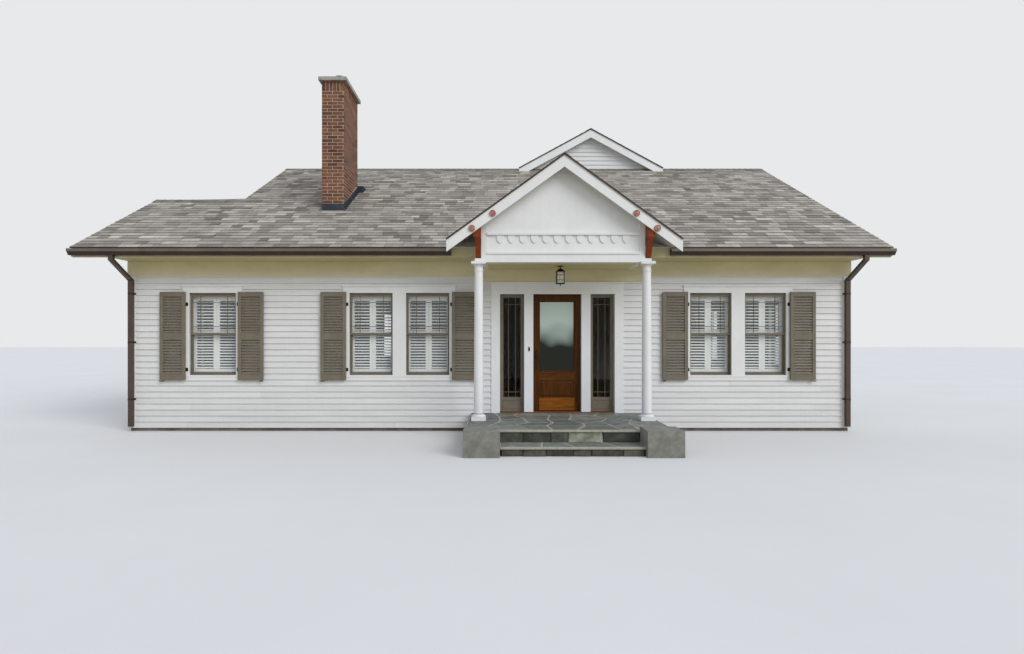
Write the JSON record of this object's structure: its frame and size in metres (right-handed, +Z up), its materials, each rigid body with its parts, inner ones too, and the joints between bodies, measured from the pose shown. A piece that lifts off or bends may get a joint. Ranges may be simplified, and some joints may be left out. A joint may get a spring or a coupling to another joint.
{
  "type": "single-storey timber bungalow with a gabled entrance porch",
  "caption": "Long low white-sided bungalow under a pitched shingle roof, with a gabled porch, hinged louvred shutters, a panelled front door and a brick chimney.",
  "frame": {"origin": "middle of the building's footprint box, at ground level", "axes": "+Z up; +Y from the entrance front to the rear; +X along the front to the right as seen from the front"},
  "size_m": [13.725, 11.297, 7.05],
  "materials": {
    "siding": "cool white painted lap siding, satin",
    "white_trim": "white painted boards, satin",
    "shingles": "weathered grey-brown asphalt shingles, rough",
    "brown_metal": "dark brown baked enamel",
    "black_metal": "black satin paint",
    "flashing": "dark slate-blue sheet metal",
    "brick": "red-brown fired brick with pale mortar, matt",
    "concrete": "cast concrete, matt",
    "floor_boards": "oiled floorboards",
    "bluestone": "cut dark blue-grey flagstone",
    "grey_stone": "grey block, slightly rough",
    "stained_wood": "red-brown stained timber",
    "door_wood": "varnished mid-brown hardwood",
    "taupe_paint": "taupe painted wood, satin",
    "glass": "clear window glass"
  },
  "bodies": {
    "house": {"foundation": "concrete", "floor": "floor_boards", "front_wall_left": "siding", "front_wall_right": "siding", "front_wall_over_door": "siding", "right_gable_wall": "siding", "rear_wall": "siding", "left_gable_wall": "siding", "left_wall_over_wing": "siding", "wing_end_wall": "siding", "wing_rear_wall": "siding", "main_roof_front": "shingles", "main_roof_rear": "shingles", "wing_roof": "shingles", "attic_gable_walls": "siding", "attic_gable_roof": "shingles", "eave_boards": "white_trim", "rake_boards": "white_trim", "gutters": "brown_metal", "downspouts": "brown_metal", "chimney": "brick", "chimney_cap": "concrete", "chimney_flashing": "flashing", "corner_boards": "white_trim", "porch_column_left": "white_trim", "porch_column_right": "white_trim", "porch_beam": "white_trim", "porch_gable_wall": "siding", "porch_frieze": "white_trim", "porch_side_walls": "siding", "porch_roof": "shingles", "porch_rake_boards": "white_trim", "porch_brackets": "stained_wood", "porch_ceiling": "siding", "lantern": "black_metal", "lantern_glass": "glass", "landing": "bluestone", "lower_step": "bluestone", "pedestals": "grey_stone", "entry_posts": "white_trim", "entry_casing": "white_trim", "threshold": "door_wood", "sidelights": "taupe_paint", "window_casings": "white_trim", "window_sashes": "taupe_paint", "window_glass": "glass", "inner_shutters": "white_trim", "shutter_hardware": "black_metal"},
    "front_door_leaf": {"front_door": "door_wood", "door_glass": "glass", "door_handle": "black_metal"},
    "left_window_left_shutter_leaf": {"left_window_left_shutter": "taupe_paint"},
    "left_window_right_shutter_leaf": {"left_window_right_shutter": "taupe_paint"},
    "middle_window_left_shutter_leaf": {"middle_window_left_shutter": "taupe_paint"},
    "middle_window_right_shutter_leaf": {"middle_window_right_shutter": "taupe_paint"},
    "right_window_left_shutter_leaf": {"right_window_left_shutter": "taupe_paint"},
    "right_window_right_shutter_leaf": {"right_window_right_shutter": "taupe_paint"}
  },
  "joints": [
    {"name": "front_door_hinge", "type": "hinge", "parent": "house", "child": "front_door_leaf", "pos_m": [1.7385, -3.2475, 0.32], "axis": [0, 0, -1], "range_deg": [0, 95]},
    {"name": "left_window_left_shutter_hinge", "type": "hinge", "parent": "house", "child": "left_window_left_shutter_leaf", "pos_m": [-5.223, -3.443, 0.905], "axis": [0, 0, 1], "range_deg": [0, 180]},
    {"name": "left_window_right_shutter_hinge", "type": "hinge", "parent": "house", "child": "left_window_right_shutter_leaf", "pos_m": [-4.278, -3.443, 0.905], "axis": [0, 0, -1], "range_deg": [0, 180]},
    {"name": "middle_window_left_shutter_hinge", "type": "hinge", "parent": "house", "child": "middle_window_left_shutter_leaf", "pos_m": [-2.405, -3.443, 0.905], "axis": [0, 0, 1], "range_deg": [0, 180]},
    {"name": "middle_window_right_shutter_hinge", "type": "hinge", "parent": "house", "child": "middle_window_right_shutter_leaf", "pos_m": [-0.524, -3.443, 0.905], "axis": [0, 0, -1], "range_deg": [0, 180]},
    {"name": "right_window_left_shutter_hinge", "type": "hinge", "parent": "house", "child": "right_window_left_shutter_leaf", "pos_m": [3.593, -3.443, 0.905], "axis": [0, 0, 1], "range_deg": [0, 180]},
    {"name": "right_window_right_shutter_hinge", "type": "hinge", "parent": "house", "child": "right_window_right_shutter_leaf", "pos_m": [5.408, -3.443, 0.905], "axis": [0, 0, -1], "range_deg": [0, 180]}
  ]
}
